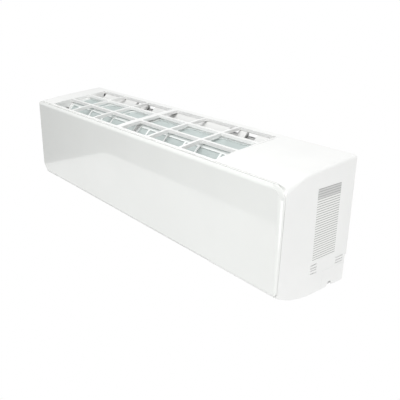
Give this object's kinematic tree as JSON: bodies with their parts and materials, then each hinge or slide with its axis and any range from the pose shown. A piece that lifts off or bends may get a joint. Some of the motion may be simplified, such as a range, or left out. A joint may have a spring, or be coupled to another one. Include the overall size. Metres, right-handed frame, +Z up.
{
  "type": "mini split indoor unit",
  "caption": "Wall-mounted air conditioner indoor unit with hinged flat front panel, top inlet grille, coil, cross-flow fan, louver and vanes.",
  "frame": {"origin": "centre of the mounting plate's back face, on the wall", "axes": "+X to the right seen from the front, +Y into the wall, +Z up"},
  "size_m": [1.1, 0.232, 0.296],
  "materials": {
    "case_white": "satin white moulding",
    "panel_gloss": "high gloss white",
    "vane_white": "satin white",
    "chassis_plastic": "plain moulding",
    "pan_plastic": "plain moulding",
    "filter_plastic": "plain moulding",
    "filter_mesh": "fine nylon mesh",
    "coil_fins": "thin stamped fins",
    "galvanised_steel": "galvanised sheet",
    "copper": "drawn copper tube",
    "brass": "turned",
    "dark_plastic": "plain moulding",
    "circuit_board": "coated board",
    "rubber": "moulded"
  },
  "bodies": {
    "unit": {"case_screw_left": "galvanised_steel", "case_screw_middle": "galvanised_steel", "case_screw_right": "galvanised_steel", "coil_front_lower": "coil_fins", "coil_front_upper": "coil_fins", "coil_rear": "coil_fins", "drain_pan": "pan_plastic", "electrical_box": "dark_plastic", "electrical_cover": "chassis_plastic", "fan_bearing_bush": "brass", "fan_bearing_rubber": "rubber", "fan_motor": "galvanised_steel", "filter_left_frame": "filter_plastic", "filter_left_mesh": "filter_mesh", "filter_right_frame": "filter_plastic", "filter_right_mesh": "filter_mesh", "front_case": "case_white", "liquid_flare_nut": "brass", "liquid_pipe": "copper", "louver_motor": "dark_plastic", "main_board": "circuit_board", "motor_clamp": "galvanised_steel", "motor_rubber_left": "rubber", "motor_rubber_right": "rubber", "mounting_plate": "galvanised_steel", "pipe_clamp": "chassis_plastic", "pipe_knockout_left": "case_white", "pipe_knockout_right": "case_white", "rear_chassis": "chassis_plastic", "room_sensor": "dark_plastic", "suction_flare_nut": "brass", "suction_pipe": "copper", "terminal_block": "case_white", "tube_sheet_left": "galvanised_steel", "tube_sheet_right": "galvanised_steel", "vane_bed_left": "vane_white", "vane_bed_right": "vane_white"},
    "panel": {"front_panel": "panel_gloss", "display_board": "circuit_board"},
    "louver": {"horizontal_louver": "case_white"},
    "fan": {"cross_flow_fan": "dark_plastic", "motor_shaft": "galvanised_steel"},
    "vane_left_1_body": {"vane_left_1": "vane_white"},
    "vane_left_2_body": {"vane_left_2": "vane_white"},
    "vane_left_3_body": {"vane_left_3": "vane_white"},
    "vane_left_4_body": {"vane_left_4": "vane_white"},
    "vane_left_5_body": {"vane_left_5": "vane_white"},
    "vane_left_6_body": {"vane_left_6": "vane_white"},
    "link_rod_left_body": {"link_rod_left": "vane_white"},
    "vane_right_1_body": {"vane_right_1": "vane_white"},
    "vane_right_2_body": {"vane_right_2": "vane_white"},
    "vane_right_3_body": {"vane_right_3": "vane_white"},
    "vane_right_4_body": {"vane_right_4": "vane_white"},
    "vane_right_5_body": {"vane_right_5": "vane_white"},
    "vane_right_6_body": {"vane_right_6": "vane_white"},
    "link_rod_right_body": {"link_rod_right": "vane_white"}
  },
  "joints": [
    {"name": "panel_hinge", "type": "hinge", "parent": "unit", "child": "panel", "pos_m": [0, -0.223, 0.085], "axis": [-1, 0, 0], "range_deg": [0, 70]},
    {"name": "louver_hinge", "type": "hinge", "parent": "unit", "child": "louver", "pos_m": [0, -0.148, -0.162], "axis": [1, 0, 0], "range_deg": [0, 85]},
    {"name": "fan_spin", "type": "hinge", "parent": "unit", "child": "fan", "pos_m": [0, -0.102, -0.058], "axis": [1, 0, 0], "continuous": true},
    {"name": "vane_left_1_turn", "type": "hinge", "parent": "unit", "child": "vane_left_1_body", "pos_m": [-0.4355, -0.10395, -0.14925], "axis": [0, -0.6782, 0.7349], "range_deg": [-35, 35]},
    {"name": "vane_left_2_turn", "type": "hinge", "parent": "unit", "child": "vane_left_2_body", "pos_m": [-0.3685, -0.10395, -0.14925], "axis": [0, -0.6782, 0.7349], "range_deg": [-35, 35]},
    {"name": "vane_left_3_turn", "type": "hinge", "parent": "unit", "child": "vane_left_3_body", "pos_m": [-0.3015, -0.10395, -0.14925], "axis": [0, -0.6782, 0.7349], "range_deg": [-35, 35]},
    {"name": "vane_left_4_turn", "type": "hinge", "parent": "unit", "child": "vane_left_4_body", "pos_m": [-0.2345, -0.10395, -0.14925], "axis": [0, -0.6782, 0.7349], "range_deg": [-35, 35]},
    {"name": "vane_left_5_turn", "type": "hinge", "parent": "unit", "child": "vane_left_5_body", "pos_m": [-0.1675, -0.10395, -0.14925], "axis": [0, -0.6782, 0.7349], "range_deg": [-35, 35]},
    {"name": "vane_left_6_turn", "type": "hinge", "parent": "unit", "child": "vane_left_6_body", "pos_m": [-0.1005, -0.10395, -0.14925], "axis": [0, -0.6782, 0.7349], "range_deg": [-35, 35]},
    {"name": "link_rod_left_pivot", "type": "hinge", "parent": "vane_left_1_body", "child": "link_rod_left_body", "pos_m": [-0.4355, -0.15426, -0.13308], "axis": [0, -0.6782, 0.7349], "range_deg": [-35, 35]},
    {"name": "vane_right_1_turn", "type": "hinge", "parent": "unit", "child": "vane_right_1_body", "pos_m": [-0.0335, -0.10395, -0.14925], "axis": [0, -0.6782, 0.7349], "range_deg": [-35, 35]},
    {"name": "vane_right_2_turn", "type": "hinge", "parent": "unit", "child": "vane_right_2_body", "pos_m": [0.0335, -0.10395, -0.14925], "axis": [0, -0.6782, 0.7349], "range_deg": [-35, 35]},
    {"name": "vane_right_3_turn", "type": "hinge", "parent": "unit", "child": "vane_right_3_body", "pos_m": [0.1005, -0.10395, -0.14925], "axis": [0, -0.6782, 0.7349], "range_deg": [-35, 35]},
    {"name": "vane_right_4_turn", "type": "hinge", "parent": "unit", "child": "vane_right_4_body", "pos_m": [0.1675, -0.10395, -0.14925], "axis": [0, -0.6782, 0.7349], "range_deg": [-35, 35]},
    {"name": "vane_right_5_turn", "type": "hinge", "parent": "unit", "child": "vane_right_5_body", "pos_m": [0.2345, -0.10395, -0.14925], "axis": [0, -0.6782, 0.7349], "range_deg": [-35, 35]},
    {"name": "vane_right_6_turn", "type": "hinge", "parent": "unit", "child": "vane_right_6_body", "pos_m": [0.3015, -0.10395, -0.14925], "axis": [0, -0.6782, 0.7349], "range_deg": [-35, 35]},
    {"name": "link_rod_right_pivot", "type": "hinge", "parent": "vane_right_1_body", "child": "link_rod_right_body", "pos_m": [-0.0335, -0.15426, -0.13308], "axis": [0, -0.6782, 0.7349], "range_deg": [-35, 35]}
  ],
  "couplings": [
    {"joint": "vane_left_2_turn", "follows": "vane_left_1_turn", "ratio": 1},
    {"joint": "vane_left_3_turn", "follows": "vane_left_1_turn", "ratio": 1},
    {"joint": "vane_left_4_turn", "follows": "vane_left_1_turn", "ratio": 1},
    {"joint": "vane_left_5_turn", "follows": "vane_left_1_turn", "ratio": 1},
    {"joint": "vane_left_6_turn", "follows": "vane_left_1_turn", "ratio": 1},
    {"joint": "link_rod_left_pivot", "follows": "vane_left_1_turn", "ratio": -1},
    {"joint": "vane_right_2_turn", "follows": "vane_right_1_turn", "ratio": 1},
    {"joint": "vane_right_3_turn", "follows": "vane_right_1_turn", "ratio": 1},
    {"joint": "vane_right_4_turn", "follows": "vane_right_1_turn", "ratio": 1},
    {"joint": "vane_right_5_turn", "follows": "vane_right_1_turn", "ratio": 1},
    {"joint": "vane_right_6_turn", "follows": "vane_right_1_turn", "ratio": 1},
    {"joint": "link_rod_right_pivot", "follows": "vane_right_1_turn", "ratio": -1}
  ]
}
